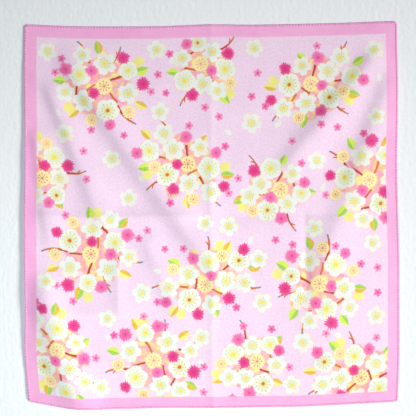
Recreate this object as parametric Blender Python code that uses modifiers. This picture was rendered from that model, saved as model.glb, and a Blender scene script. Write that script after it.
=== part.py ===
"""A thin cotton handkerchief, opened out and hanging flat against a wall from its two top corners.

The cloth is one sheet with a rolled hem. It carries the creases of its earlier folding into quarters, and
soft furrows that run down from the corners it hangs by.

Frame: metres, +Z up. The origin is the middle of the top edge, on the side that faces the wall. The wall is
the plane of X and Z just behind it, at +Y, and the cloth stands out from it towards -Y.
Places on the cloth are given in millimetres, across from its left edge and down from its top edge.
"""

from collections import namedtuple

import bmesh
import bpy
import numpy as np

MM = 0.001

WIDTH = 480.0
HEIGHT = 490.0
CLOTH_THICKNESS = 1.2
HEM_THICKNESS = 1.8
HEM_WIDTH = 3.0
CELLS = 48

NAME = "handkerchief"
CLOTH_COLOUR = (0.86, 0.62, 0.80, 1.0)
CLOTH_ROUGHNESS = 0.85

# How far each edge stands outside the plain rectangle, at even places along it, and how far the cloth stands
# off the wall. place runs 0 to 1: from left to right on the top and bottom edges, and from top to bottom on
# the sides. lean is the depth of the whole sheet at that height, and the lifts are what its two side edges
# add to it there.
Section = namedtuple("Section", "place top bottom left right lean left_lift right_lift")
SECTIONS = (
    Section(0.000, 0.2, -5.3, -0.6, -0.5, 0.0, 0.0, 0.0),
    Section(0.125, -2.1, 3.5, -0.2, 0.3, 1.4, 0.2, -0.9),
    Section(0.250, -2.6, 3.7, -0.9, 0.4, 2.0, 0.4, -1.4),
    Section(0.375, -2.2, 2.4, -1.3, -0.4, 2.4, 1.4, -1.2),
    Section(0.500, 0.0, 2.4, -0.4, 0.8, 2.8, 1.2, -1.0),
    Section(0.625, -0.4, 1.5, -0.7, 2.2, 3.2, 1.0, -1.8),
    Section(0.750, 0.8, 0.5, -1.5, 2.4, 3.4, 0.4, -2.6),
    Section(0.875, 2.4, -2.5, -1.1, 2.4, 3.2, -1.8, -2.6),
    Section(1.000, 4.5, -5.5, -6.2, 0.4, 2.8, -2.2, -1.6),
)
LIFT_REACH = 44.0

# The soft furrows: each is a ridge along a line from one place to another, bowed sideways at the middle. left and
# right are the half widths of its steep and its long side at the lower end, and rise is the ridge's height.
Furrow = namedtuple("Furrow", "across0 down0 across1 down1 bow left right rise")
FURROWS = (
    # From the top left corner, the flattest first.
    Furrow(36, 22, 264, 334, -2, 16, 30, 6.0),
    Furrow(24, 60, 112, 274, 0, 13, 26, 4.2),
    # Down the left side, a low one and then the one behind which the bottom corner turns back to the wall.
    Furrow(12, 128, 36, 296, 0, 10, 22, 2.7),
    Furrow(20, 312, 98, 562, -6, 27, 26, 8.6),
    # From the top right corner, the flattest first, and what is left of them lower down.
    Furrow(468, 26, 320, 204, 0, 17, 28, 4.9),
    Furrow(484, 44, 368, 356, 0, 17, 32, 4.0),
    Furrow(362, 224, 396, 474, 0, 40, 46, 2.5),
    # A short one in the loose cloth below the middle.
    Furrow(152, 262, 204, 386, 0, 14, 22, 2.4),
)
START_WIDTH = 0.75
START_FADE = 0.16
END_FADE = 0.22

# The creases left by folding: along is the direction in which a crease runs, place is where it lies across
# that direction, and start and end are where it shows. A rise below zero is a crease folded the other way.
Crease = namedtuple("Crease", "along place start end rise width")
CREASES = (
    Crease("down", 0.50, -60, 210, 0.9, 6),
    Crease("down", 0.50, 170, 370, 2.0, 9),
    Crease("down", 0.50, 320, 560, 1.1, 4),
    Crease("down", 0.25, 270, 390, 2.1, 8),
    Crease("down", 0.75, 225, 370, -2.4, 8),
    Crease("across", 0.50, 0, 240, 4.0, 8),
    Crease("across", 0.50, 240, 540, -1.4, 8),
    Crease("across", 0.75, 0, 160, 2.4, 8),
    Crease("across", 0.25, 120, 400, -0.6, 8),
)
CREASE_FADE = 40.0
CREASE_ROUNDING = 1.6


def smooth_rows(column, place):
    """Reads one column of SECTIONS at any place, by a Catmull-Rom curve through its evenly spaced rows."""
    rows = np.array([getattr(row, column) for row in SECTIONS])
    rows = np.concatenate(([2 * rows[0] - rows[1]], rows, [2 * rows[-1] - rows[-2]]))
    last = len(SECTIONS) - 2
    at = place * (last + 1)
    first = np.clip(np.floor(at), 0, last).astype(int)
    t = at - first
    p0, p1, p2, p3 = (rows[first + step] for step in range(4))
    bend = 2 * p0 - 5 * p1 + 4 * p2 - p3
    twist = 3 * (p1 - p2) + p3 - p0
    return 0.5 * (2 * p1 + (p2 - p0) * t + bend * t**2 + twist * t**3)


def ease(t):
    """Goes from 0 to 1 with level ends as t does."""
    t = np.clip(t, 0.0, 1.0)
    return t * t * (3 - 2 * t)


def furrow_depth(furrow, across, down):
    """The height of one furrow: a bell across its line, with unlike sides, easing in and out along it."""
    run = np.array([furrow.across1 - furrow.across0, furrow.down1 - furrow.down0], float)
    length = np.hypot(*run)
    run /= length
    dx, dz = across - furrow.across0, down - furrow.down0
    along = (dx * run[0] + dz * run[1]) / length
    inside = np.clip(along, 0.0, 1.0)
    side = dx * run[1] - dz * run[0] - furrow.bow * 4 * inside * (1 - inside)
    width = np.where(side < 0, furrow.left, furrow.right) * (START_WIDTH + (1 - START_WIDTH) * inside)
    ends = ease(along / START_FADE) * ease((1 - along) / END_FADE)
    return furrow.rise * ends * np.exp(-((side / width) ** 2))


def crease_depth(crease, across, down):
    """The height of one crease: a tent with a rounded ridge, easing in and out along it."""
    if crease.along == "down":
        side, along = across - crease.place * WIDTH, down
    else:
        side, along = down - crease.place * HEIGHT, across
    tent = np.exp((CREASE_ROUNDING - np.hypot(side, CREASE_ROUNDING)) / crease.width)
    ends = ease((along - crease.start) / CREASE_FADE) * ease((crease.end - along) / CREASE_FADE)
    return crease.rise * ends * tent


def hung_cloth(u, v):
    """Puts the flat cloth's points where they hang. u runs 0 to 1 across it, and v runs 0 to 1 down it."""
    across, down = u * WIDTH, v * HEIGHT
    x = across - WIDTH / 2 - (1 - u) * smooth_rows("left", v) + u * smooth_rows("right", v)
    z = -down + (1 - v) * smooth_rows("top", u) - v * smooth_rows("bottom", u)
    depth = smooth_rows("lean", v)
    depth += smooth_rows("left_lift", v) * np.clip(1 - across / LIFT_REACH, 0.0, 1.0) ** 2
    depth += smooth_rows("right_lift", v) * np.clip(1 - (WIDTH - across) / LIFT_REACH, 0.0, 1.0) ** 2
    for furrow in FURROWS:
        depth += furrow_depth(furrow, across, down)
    for crease in CREASES:
        depth += crease_depth(crease, across, down)
    return np.stack((x, -depth - CLOTH_THICKNESS / 2, z), axis=-1) * MM


def line_places(steps, length):
    """The places of the grid's lines, 0 to 1: one along each hem, and the others evenly apart."""
    hem = HEM_WIDTH / length
    even = np.arange(1, steps - 2) / (steps - 2)
    return np.concatenate(([0.0, hem], even, [1.0 - hem, 1.0]))


def make_handkerchief(material):
    """Builds the hanging sheet, thickened to cloth, with a thicker rim where its hem is rolled."""
    steps = CELLS + 2
    grid = bmesh.new()
    bmesh.ops.create_grid(grid, x_segments=steps, y_segments=steps, size=1.0)
    flat = np.array([vertex.co for vertex in grid.verts])
    column, row = (np.rint((flat[:, axis] + 1) / 2 * steps).astype(int) for axis in (0, 1))
    places = hung_cloth(line_places(steps, WIDTH)[column], line_places(steps, HEIGHT)[steps - row])
    for vertex, place in zip(grid.verts, places):
        vertex.co = place
    bmesh.ops.recalc_face_normals(grid, faces=grid.faces)
    mesh = bpy.data.meshes.new(NAME)
    grid.to_mesh(mesh)
    grid.free()
    mesh.shade_smooth()
    mesh.materials.append(material)

    cloth = bpy.data.objects.new(NAME, mesh)
    nearest_edge = np.minimum.reduce([column, steps - column, row, steps - row])
    hem = cloth.vertex_groups.new(name="hem")
    hem.add(np.flatnonzero(nearest_edge <= 1).tolist(), 1.0, "REPLACE")
    thicken = cloth.modifiers.new("Cloth", "SOLIDIFY")
    thicken.thickness = HEM_THICKNESS * MM
    thicken.offset = 0.0
    thicken.vertex_group = hem.name
    thicken.thickness_vertex_group = CLOTH_THICKNESS / HEM_THICKNESS
    return cloth


def make_cotton():
    """The pale pink of the printed cotton, dull as washed cloth is."""
    material = bpy.data.materials.new("printed_cotton")
    material.use_nodes = True
    shader = material.node_tree.nodes["Principled BSDF"]
    shader.inputs["Base Color"].default_value = CLOTH_COLOUR
    shader.inputs["Roughness"].default_value = CLOTH_ROUGHNESS
    shader.inputs["Metallic"].default_value = 0.0
    return material


def main():
    """Clears the scene and builds the handkerchief in a collection of its own."""
    for old in list(bpy.data.objects):
        bpy.data.objects.remove(old, do_unlink=True)
    parts = bpy.data.collections.new("hung_handkerchief")
    bpy.context.scene.collection.children.link(parts)
    parts.objects.link(make_handkerchief(make_cotton()))


main()
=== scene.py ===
"""The looks of a printed cotton handkerchief, opened out and hanging flat from its two top corners.

The cloth is one thin sheet on the folds of its solid. A flower print and a plain border stripe are dyed into
it, and a thread is overlocked round its four edges.

Frame: metres, +Z up. The origin is the middle of the top edge, on the side that faces the wall. The printed
side faces -Y. Places on the cloth are in millimetres, across from its left edge and down from its top edge.
"""

import logging
import math
from collections.abc import Mapping
from dataclasses import dataclass
from enum import Enum
from functools import cached_property
from typing import NamedTuple, Optional, Union

import bpy
import numpy as np
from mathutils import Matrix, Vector


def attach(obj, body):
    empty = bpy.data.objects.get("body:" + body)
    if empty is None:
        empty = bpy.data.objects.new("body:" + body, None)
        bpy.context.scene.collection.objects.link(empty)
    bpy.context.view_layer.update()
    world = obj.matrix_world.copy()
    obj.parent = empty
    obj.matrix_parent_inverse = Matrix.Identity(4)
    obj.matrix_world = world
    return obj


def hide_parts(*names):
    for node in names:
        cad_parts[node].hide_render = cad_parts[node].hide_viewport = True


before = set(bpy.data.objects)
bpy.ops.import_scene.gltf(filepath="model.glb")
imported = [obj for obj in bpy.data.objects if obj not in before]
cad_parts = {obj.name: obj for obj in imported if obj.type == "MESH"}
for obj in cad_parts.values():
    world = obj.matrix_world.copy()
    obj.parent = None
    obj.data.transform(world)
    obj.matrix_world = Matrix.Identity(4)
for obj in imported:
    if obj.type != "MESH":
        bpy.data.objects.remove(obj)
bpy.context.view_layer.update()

LOG = logging.getLogger("handkerchief")

MM = 0.001
TAU = 2 * math.pi
NODE = "handkerchief"
BODY = "root"
PLACE_MAP = "place_on_cloth"
CORNER_STEPS = 16

Array = np.ndarray


def ease(t: Array) -> Array:
    """Goes from 0 to 1 with level ends as t does: t squared times (3 - 2t), with t held to 0..1."""
    t = np.clip(t, 0.0, 1.0)
    return t * t * (3 - 2 * t)


def unit(vectors: Array) -> Array:
    """Each vector divided by its length."""
    return vectors / np.linalg.norm(vectors, axis=-1, keepdims=True)


# The hang of the cloth, by the tables of its solid.


class Section(NamedTuple):
    """How far the edges stand outside the plain rectangle at one of the even places along them, in mm.

    place runs 0 to 1, from left to right on the top and bottom edges and from top to bottom on the sides.
    lean is how far the whole sheet stands off the wall at that height, and the lifts are what its two side
    edges add to it there.
    """

    place: float
    top: float
    bottom: float
    left: float
    right: float
    lean: float
    left_lift: float
    right_lift: float


class Furrow(NamedTuple):
    """A soft ridge or trough from one place to another, bowed sideways at the middle, in mm.

    left and right are the half widths of its two sides at the lower end, and rise is the height of a ridge,
    or below zero the depth of a trough.
    """

    across0: float
    down0: float
    across1: float
    down1: float
    bow: float
    left: float
    right: float
    rise: float


class Crease(NamedTuple):
    """A fold line. place is where it lies across its direction, and start and end are where it shows.

    A rise below zero is a crease folded the other way.
    """

    along: str
    place: float
    start: float
    end: float
    rise: float
    width: float


class Ripple(NamedTuple):
    """A faint wave of the slack cloth: its length in mm, its heading in degrees, its phase and its rise."""

    length: float
    heading: float
    phase: float
    rise: float


SECTIONS = (
    Section(0.000, 0.2, -5.3, -0.6, -0.5, 0.0, 0.0, 0.0),
    Section(0.125, -2.1, 3.5, -0.2, 0.3, 1.4, 0.2, -0.9),
    Section(0.250, -2.6, 3.7, -0.9, 0.4, 2.0, 0.4, -1.4),
    Section(0.375, -2.2, 2.4, -1.3, -0.4, 2.4, 1.4, -1.2),
    Section(0.500, 0.0, 2.4, -0.4, 0.8, 2.8, 1.2, -1.0),
    Section(0.625, -0.4, 1.5, -0.7, 2.2, 3.2, 1.0, -1.8),
    Section(0.750, 0.8, 0.5, -1.5, 2.4, 3.4, 0.4, -2.6),
    Section(0.875, 2.4, -2.5, -1.1, 2.4, 3.2, -1.8, -2.6),
    Section(1.000, 4.5, -5.5, -6.2, 0.4, 2.8, -2.2, -1.6),
)
FURROWS = (
    Furrow(36, 22, 264, 334, -2, 16, 30, 6.0),
    Furrow(24, 60, 112, 274, 0, 13, 26, 4.2),
    Furrow(12, 128, 36, 296, 0, 10, 22, 2.7),
    Furrow(20, 312, 98, 562, -6, 27, 26, 8.6),
    Furrow(468, 26, 320, 204, 0, 17, 28, 4.9),
    Furrow(484, 44, 368, 356, 0, 17, 32, 4.0),
    Furrow(362, 224, 396, 474, 0, 40, 46, 2.5),
    Furrow(152, 262, 204, 386, 0, 14, 22, 2.4),
)
CREASES = (
    Crease("down", 0.50, -60, 210, 0.9, 6),
    Crease("down", 0.50, 170, 370, 2.0, 9),
    Crease("down", 0.50, 320, 560, 1.1, 4),
    Crease("down", 0.25, 270, 390, 2.1, 8),
    Crease("down", 0.75, 225, 370, -2.4, 8),
    Crease("across", 0.50, 0, 240, 4.0, 8),
    Crease("across", 0.50, 240, 540, -1.4, 8),
    Crease("across", 0.75, 0, 160, 2.4, 8),
    Crease("across", 0.25, 120, 400, -0.6, 8),
)
RIPPLES = (
    Ripple(71, 62, 0.6, 0.22),
    Ripple(53, 118, 2.1, 0.16),
    Ripple(38, 84, 4.0, 0.10),
    Ripple(31, 12, 1.3, 0.07),
    Ripple(24, 141, 5.2, 0.05),
)


@dataclass(frozen=True)
class Hang:
    """The shape in which the cloth hangs, by the same tables as its solid, in millimetres.

    The solid is thicker than cotton, so the sheet hangs on the middle of it.
    """

    width: float = 480.0
    height: float = 490.0
    solid_thickness: float = 1.2
    lift_reach: float = 44.0
    start_width: float = 0.75
    start_fade: float = 0.16
    end_fade: float = 0.22
    crease_fade: float = 40.0
    crease_rounding: float = 1.6
    pucker_rise: float = 0.14
    pucker_length: float = 10.4
    pucker_reach: float = 5.0
    pucker_drift: float = 1.7
    pucker_drift_length: float = 37.0
    normal_step: float = 0.5

    def read(self, column: str, place: Array) -> Array:
        """Reads one column of SECTIONS at any place, by a Catmull-Rom curve through its even rows.

        Args:
            column: The column's name.
            place: Places from 0 to 1.

        Returns:
            The column's value at each place.
        """
        rows = np.array([getattr(row, column) for row in SECTIONS])
        rows = np.concatenate(([2 * rows[0] - rows[1]], rows, [2 * rows[-1] - rows[-2]]))
        last = len(SECTIONS) - 2
        at = place * (last + 1)
        first = np.clip(np.floor(at), 0, last).astype(int)
        t = at - first
        p0, p1, p2, p3 = (rows[first + step] for step in range(4))
        bend = 2 * p0 - 5 * p1 + 4 * p2 - p3
        twist = 3 * (p1 - p2) + p3 - p0
        return 0.5 * (2 * p1 + (p2 - p0) * t + bend * t**2 + twist * t**3)

    def furrow(self, row: Furrow, across: Array, down: Array) -> Array:
        """The height of one furrow: a bell across its line, with unlike sides, easing in and out along it.

        The bell is e to the minus square of the distance from the line over the half width there.

        Args:
            row: The furrow.
            across: Millimetres from the left edge.
            down: Millimetres from the top edge.

        Returns:
            Its height at each place, in mm.
        """
        run = np.array([row.across1 - row.across0, row.down1 - row.down0], float)
        length = np.hypot(*run)
        run /= length
        dx, dz = across - row.across0, down - row.down0
        along = (dx * run[0] + dz * run[1]) / length
        inside = np.clip(along, 0.0, 1.0)
        side = dx * run[1] - dz * run[0] - row.bow * 4 * inside * (1 - inside)
        spread = self.start_width + (1 - self.start_width) * inside
        width = np.where(side < 0, row.left, row.right) * spread
        ends = ease(along / self.start_fade) * ease((1 - along) / self.end_fade)
        return row.rise * ends * np.exp(-((side / width) ** 2))

    def crease(self, row: Crease, across: Array, down: Array) -> Array:
        """The height of one crease: a tent with a rounded ridge, easing in and out along it.

        The tent is e to the minus distance from the line over the width, with a rounded distance.

        Args:
            row: The crease.
            across: Millimetres from the left edge.
            down: Millimetres from the top edge.

        Returns:
            Its height at each place, in mm.
        """
        if row.along == "down":
            side, along = across - row.place * self.width, down
        else:
            side, along = down - row.place * self.height, across
        tent = np.exp((self.crease_rounding - np.hypot(side, self.crease_rounding)) / row.width)
        ends = ease((along - row.start) / self.crease_fade) * ease((row.end - along) / self.crease_fade)
        return row.rise * ends * tent

    def slack(self, across: Array, down: Array) -> Array:
        """The small unevenness of loose cloth: crossing sine waves, and a pucker where the edge is sewn.

        The pucker is a sine wave along each edge, dying off inwards as e to the minus distance over reach.

        Args:
            across: Millimetres from the left edge.
            down: Millimetres from the top edge.

        Returns:
            Its height at each place, in mm.
        """
        total = np.zeros(np.broadcast(across, down).shape)
        for row in RIPPLES:
            heading = math.radians(row.heading)
            run = across * math.cos(heading) + down * math.sin(heading)
            total += row.rise * np.sin(TAU * run / row.length + row.phase)
        for place, edge, extent in ((across, down, self.height), (down, across, self.width)):
            near = np.exp(-edge / self.pucker_reach) + np.exp(-(extent - edge) / self.pucker_reach)
            drift = self.pucker_drift * np.sin(place / self.pucker_drift_length)
            total += self.pucker_rise * np.sin(TAU * place / self.pucker_length + drift) * near
        return total

    def place(self, across: Array, down: Array) -> Array:
        """Puts places on the flat cloth where they hang.

        Args:
            across: Millimetres from the left edge.
            down: Millimetres from the top edge.

        Returns:
            The points in metres, in an array with one more axis, of length 3.
        """
        u, v = across / self.width, down / self.height
        x = across - self.width / 2 - (1 - u) * self.read("left", v) + u * self.read("right", v)
        z = -down + (1 - v) * self.read("top", u) - v * self.read("bottom", u)
        near_left = np.clip(1 - across / self.lift_reach, 0.0, 1.0) ** 2
        near_right = np.clip(1 - (self.width - across) / self.lift_reach, 0.0, 1.0) ** 2
        depth = self.read("lean", v) + self.read("left_lift", v) * near_left
        depth = depth + self.read("right_lift", v) * near_right
        for furrow in FURROWS:
            depth = depth + self.furrow(furrow, across, down)
        for crease in CREASES:
            depth = depth + self.crease(crease, across, down)
        depth = depth + self.slack(across, down)
        return np.stack((x, -depth - self.solid_thickness / 2, z), axis=-1) * MM

    def outward(self, across: Array, down: Array) -> Array:
        """The unit normals of the printed side: the cross product of the steps down and to the right.

        Args:
            across: Millimetres from the left edge.
            down: Millimetres from the top edge.

        Returns:
            The normals, in an array with one more axis, of length 3.
        """
        step = self.normal_step
        right = self.place(across + step, down) - self.place(across - step, down)
        below = self.place(across, down + step) - self.place(across, down - step)
        return unit(np.cross(below, right))


# Node trees, written as sums.


@dataclass(frozen=True)
class Dye:
    """A colour as a screen shows it: red, green and blue from 0 to 255."""

    red: int
    green: int
    blue: int

    @property
    def linear(self) -> tuple[float, float, float, float]:
        """The colour in linear light, with alpha 1."""
        shares = np.array([self.red, self.green, self.blue]) / 255
        light = np.where(shares <= 0.04045, shares / 12.92, ((shares + 0.055) / 1.055) ** 2.4)
        return (float(light[0]), float(light[1]), float(light[2]), 1.0)


@dataclass(frozen=True)
class Signal:
    """One output of a node tree, with which sums are written as with a number."""

    graph: "Graph"
    socket: bpy.types.NodeSocket

    def __add__(self, other: "Value") -> "Signal":
        """self + other."""
        return self.graph.math("ADD", self, other)

    def __radd__(self, other: float) -> "Signal":
        """other + self."""
        return self.graph.math("ADD", other, self)

    def __sub__(self, other: "Value") -> "Signal":
        """self - other."""
        return self.graph.math("SUBTRACT", self, other)

    def __rsub__(self, other: float) -> "Signal":
        """other - self."""
        return self.graph.math("SUBTRACT", other, self)

    def __mul__(self, other: "Value") -> "Signal":
        """self * other."""
        return self.graph.math("MULTIPLY", self, other)

    def __rmul__(self, other: float) -> "Signal":
        """other * self."""
        return self.graph.math("MULTIPLY", other, self)

    def __truediv__(self, other: "Value") -> "Signal":
        """self / other."""
        return self.graph.math("DIVIDE", self, other)

    def __abs__(self) -> "Signal":
        """The distance from zero."""
        return self.graph.math("ABSOLUTE", self)

    def squared(self) -> "Signal":
        """self * self."""
        return self.graph.math("MULTIPLY", self, self)


Value = Union[Signal, Dye, float, tuple]


class Graph:
    """Adds nodes to one node tree. Each call gives back what its node puts out."""

    def __init__(self, tree: bpy.types.NodeTree) -> None:
        """Takes the tree that the nodes are added to."""
        self.tree = tree

    def feed(self, socket: bpy.types.NodeSocket, value: Value) -> None:
        """Links a signal to an input, or sets the input to a colour or number.

        Args:
            socket: The input.
            value: What it gets.
        """
        if isinstance(value, Signal):
            self.tree.links.new(value.socket, socket)
        elif isinstance(value, Dye):
            socket.default_value = value.linear
        else:
            socket.default_value = value

    def node(self, kind: str, inputs: Mapping, out: Union[str, int] = 0, **settings: object) -> Signal:
        """Adds one node.

        Args:
            kind: The node's Blender type.
            inputs: What feeds each input, by its name or number.
            out: The output's name or number.
            **settings: The node's own properties.

        Returns:
            The output asked for.
        """
        made = self.tree.nodes.new(kind)
        for name, setting in settings.items():
            setattr(made, name, setting)
        for name, value in inputs.items():
            self.feed(made.inputs[name], value)
        return Signal(self, made.outputs[out])

    def other(self, signal: Signal, out: str) -> Signal:
        """Another output of the node that a signal comes from."""
        return Signal(self, signal.socket.node.outputs[out])

    def math(self, operation: str, *values: Value) -> Signal:
        """One Math node."""
        return self.node("ShaderNodeMath", dict(enumerate(values)), operation=operation)

    def greater(self, first: Value, second: Value) -> Signal:
        """The larger of two numbers."""
        return self.math("MAXIMUM", first, second)

    def length(self, x: Signal, y: Value) -> Signal:
        """The square root of x squared plus y squared."""
        return self.math("SQRT", self.math("ADD", x.squared(), self.math("MULTIPLY", y, y)))

    def step(self, value: Signal, low: Value, high: Value) -> Signal:
        """Goes smoothly from 0 where value is low to 1 where it is high."""
        return self.node(
            "ShaderNodeMapRange",
            {"Value": value, "From Min": low, "From Max": high},
            interpolation_type="SMOOTHSTEP",
        )

    def within(self, value: Signal, edge: float, blur: float) -> Signal:
        """1 where value is under edge and 0 where it is over, with a change as wide as blur."""
        return 1.0 - self.step(value, edge - blur / 2, edge + blur / 2)

    def mix(self, share: Value, below: Value, above: Value, blend: str = "MIX") -> Signal:
        """Lays one colour over another, by a share from 0 to 1."""
        inputs = {0: share, 6: below, 7: above}
        return self.node("ShaderNodeMix", inputs, 2, data_type="RGBA", blend_type=blend)

    def split(self, vector: Signal) -> tuple[Signal, Signal, Signal]:
        """The x, y and z of a vector."""
        x = self.node("ShaderNodeSeparateXYZ", {0: vector}, "X")
        return x, self.other(x, "Y"), self.other(x, "Z")

    def join(self, x: Value, y: Value, z: Value = 0.0) -> Signal:
        """A vector from its x, y and z."""
        return self.node("ShaderNodeCombineXYZ", {0: x, 1: y, 2: z})

    def noise(self, place: Signal, size: float, detail: float = 2.0, out: str = "Fac") -> Signal:
        """Soft noise about 0.5, whose blots are about size wide, in the units of place."""
        inputs = {"Vector": place, "Scale": 1 / size, "Detail": detail}
        return self.node("ShaderNodeTexNoise", inputs, out)

    def lot(self, which: Signal, shade: Value) -> Signal:
        """An even random number from 0 to 1 for each whole number which and each shade."""
        inputs = {"Vector": self.join(which, shade)}
        return self.node("ShaderNodeTexWhiteNoise", inputs, noise_dimensions="2D")

    def stretched(self, place: Signal, scale: tuple[float, float, float]) -> Signal:
        """A place, with its x, y and z multiplied by a scale."""
        return self.node("ShaderNodeMapping", {"Vector": place, "Scale": scale}, vector_type="POINT")

    def placed(self, group: bpy.types.NodeTree, inputs: Mapping) -> Signal:
        """Places a node group, with what feeds its inputs by name, and gives back its first output."""
        return self.node("ShaderNodeGroup", inputs, node_tree=group)

    def ramp(self, value: Signal, *dyes: Dye) -> Signal:
        """Goes through the dyes in turn, evenly, as value goes from 0 to 1.

        Args:
            value: The number.
            *dyes: The dyes, the first of them at 0.

        Returns:
            The colour.
        """
        made = self.node("ShaderNodeValToRGB", {"Fac": value})
        stops = made.socket.node.color_ramp.elements
        while len(stops) < len(dyes):
            stops.new(0.5)
        for number, (stop, dye) in enumerate(zip(stops, dyes)):
            stop.position = number / (len(dyes) - 1)
        for stop, dye in zip(stops, dyes):
            stop.color = dye.linear
        return made

    def fold(self, x: Signal, y: Signal, count: int) -> tuple[Signal, Signal, Signal]:
        """Folds the plane into equal sectors round its centre, so that one petal makes a ring of them.

        The angle is rounded to the nearest sector's, and the point is turned back by it.

        Args:
            x: The place to the right.
            y: The place upwards or downwards.
            count: How many sectors.

        Returns:
            The place along the sector's middle line, the place to its side, and the sector's number.
        """
        angle = self.math("ARCTAN2", y, x)
        nearest = self.math("ROUND", angle * (count / TAU))
        off = angle - nearest * (TAU / count)
        reach = self.length(x, y)
        along = reach * self.math("COSINE", off)
        aside = reach * self.math("SINE", off)
        return along, aside, self.math("WRAP", nearest, float(count), 0.0)


# The dyes and the motifs of the print.

SNOW = Dye(229, 230, 225)
SHELL = Dye(220, 222, 212)
CREAM = Dye(240, 229, 172)
PEACH = Dye(242, 214, 196)
BUTTER = Dye(242, 225, 164)
LEMON = Dye(240, 228, 104)
GOLD = Dye(236, 214, 56)
OLIVE = Dye(206, 204, 66)
POLLEN = Dye(222, 220, 104)
RUST = Dye(206, 108, 44)
WINE = Dye(150, 34, 44)
CLARET = Dye(184, 44, 52)
CRIMSON = Dye(214, 44, 70)
SALMON = Dye(238, 150, 130)
APRICOT = Dye(242, 184, 108)
MAGENTA = Dye(220, 58, 128)
ROSE = Dye(236, 110, 168)
BLUSH = Dye(240, 160, 200)
CORAL = Dye(238, 168, 168)
TEAL = Dye(84, 146, 172)
STRAW = Dye(232, 224, 134)
LIME = Dye(204, 230, 86)
LEAF_GREEN = Dye(148, 202, 74)
MUSTARD = Dye(222, 176, 56)


@dataclass(frozen=True)
class Motif:
    """A motif of the print, drawn on its own plane with its centre at 0 and its rim at 1."""

    def draw(self, g: Graph, x: Signal, y: Signal, shade: Signal, mottle: Signal) -> tuple[Signal, Signal]:
        """Draws the motif.

        Args:
            g: The node tree it is drawn in.
            x: The place to the right of its centre.
            y: The place below its centre.
            shade: A number from 0 to 1 that differs from one copy of the motif to the next.
            mottle: Noise about 0.5 that is uneven like dye in cotton.

        Returns:
            The motif's colour and its mask.
        """
        raise NotImplementedError

    def group(self) -> bpy.types.NodeTree:
        """The motif as a node group, from Place and Mottle to Colour and Mask, built once.

        Returns:
            The group. Place holds the place on the motif's plane and, as its z, the shade.
        """
        name = type(self).__name__
        if name in bpy.data.node_groups:
            return bpy.data.node_groups[name]
        tree = bpy.data.node_groups.new(name, "ShaderNodeTree")
        tree.interface.new_socket("Place", in_out="INPUT", socket_type="NodeSocketVector")
        tree.interface.new_socket("Mottle", in_out="INPUT", socket_type="NodeSocketFloat")
        tree.interface.new_socket("Colour", in_out="OUTPUT", socket_type="NodeSocketColor")
        tree.interface.new_socket("Mask", in_out="OUTPUT", socket_type="NodeSocketFloat")
        g = Graph(tree)
        place = g.node("NodeGroupInput", {}, "Place")
        x, y, shade = g.split(place)
        colour, mask = self.draw(g, x, y, shade, g.other(place, "Mottle"))
        ends = tree.nodes.new("NodeGroupOutput")
        g.feed(ends.inputs["Colour"], colour)
        g.feed(ends.inputs["Mask"], mask)
        return tree


def lit_side(g: Graph, x: Signal, y: Signal) -> Signal:
    """Goes from 0 to 1 towards the upper right of a blossom, where its petals are tinted."""
    return g.step(x * 0.5 - y * 0.85, -0.1, 0.7)


@dataclass(frozen=True)
class Stamens:
    """The fine lines round a blossom's heart, each with a dot at its tip. Sizes are shares of its radius."""

    count: int
    start: float
    shortest: float
    longest: float
    thickness: float
    dot: float

    def mask(self, g: Graph, x: Signal, y: Signal, shade: Signal) -> Signal:
        """Draws them: a line within each sector, up to a tip at a random reach, and a dot there.

        Args:
            g: The node tree.
            x: The place to the right of the blossom's centre.
            y: The place below it.
            shade: The blossom's own number.

        Returns:
            1 on the lines and dots and 0 off them.
        """
        along, aside, which = g.fold(x, y, self.count)
        tip = self.shortest + (self.longest - self.shortest) * g.lot(which, shade + 3.7)
        line = g.within(abs(aside), self.thickness, self.thickness * 0.8)
        line = line * g.step(along, self.start, self.start + 0.04) * g.math("LESS_THAN", along, tip)
        dots = g.within(g.length(along - tip, aside), self.dot, self.dot * 0.5)
        return g.greater(line * 0.75, dots)


@dataclass(frozen=True)
class CherryBlossom(Motif):
    """Five broad white petals with a nick in each tip, a lemon heart and fine olive stamens."""

    stamens: Stamens = Stamens(11, 0.12, 0.28, 0.48, 0.027, 0.054)

    def draw(self, g: Graph, x: Signal, y: Signal, shade: Signal, mottle: Signal) -> tuple[Signal, Signal]:
        """Each petal is an ellipse along its sector, less a nick at its tip. See Motif.draw."""
        along, aside, which = g.fold(x, y, 5)
        lot = g.lot(which, shade)
        reach = g.length(x, y)
        petal = ((along - 0.56) / 0.43).squared() + (aside / (0.345 + 0.035 * lot)).squared()
        nick = g.within(abs(aside), 0.07, 0.09) * g.step(along, 0.82, 0.95)
        petal = petal + nick * 0.5
        mask = g.greater(g.within(petal, 1.2, 0.2), g.within(reach, 0.2, 0.06))
        colour = g.mix(g.step(reach, 0.1, 0.75), SHELL, SNOW)
        colour = g.mix(g.step(lot, 0.8, 0.86) * 0.4, colour, PEACH)
        colour = g.mix(g.step(petal, 0.62, 1.0) * (0.15 + 0.75 * lit_side(g, x, y)), colour, CREAM)
        colour = g.mix(g.step(mottle, 0.45, 0.75) * 0.3, colour, SHELL)
        colour = g.mix(g.within(reach, 0.24, 0.2) * 0.55, colour, LEMON)
        colour = g.mix(g.step(petal, 1.0, 1.14) * 0.6, colour, g.mix(g.step(shade, 0.3, 0.5), CREAM, CORAL))
        colour = g.mix(self.stamens.mask(g, x, y, shade), colour, OLIVE)
        return g.mix(g.within(reach, 0.10, 0.06), colour, GOLD), mask


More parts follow.
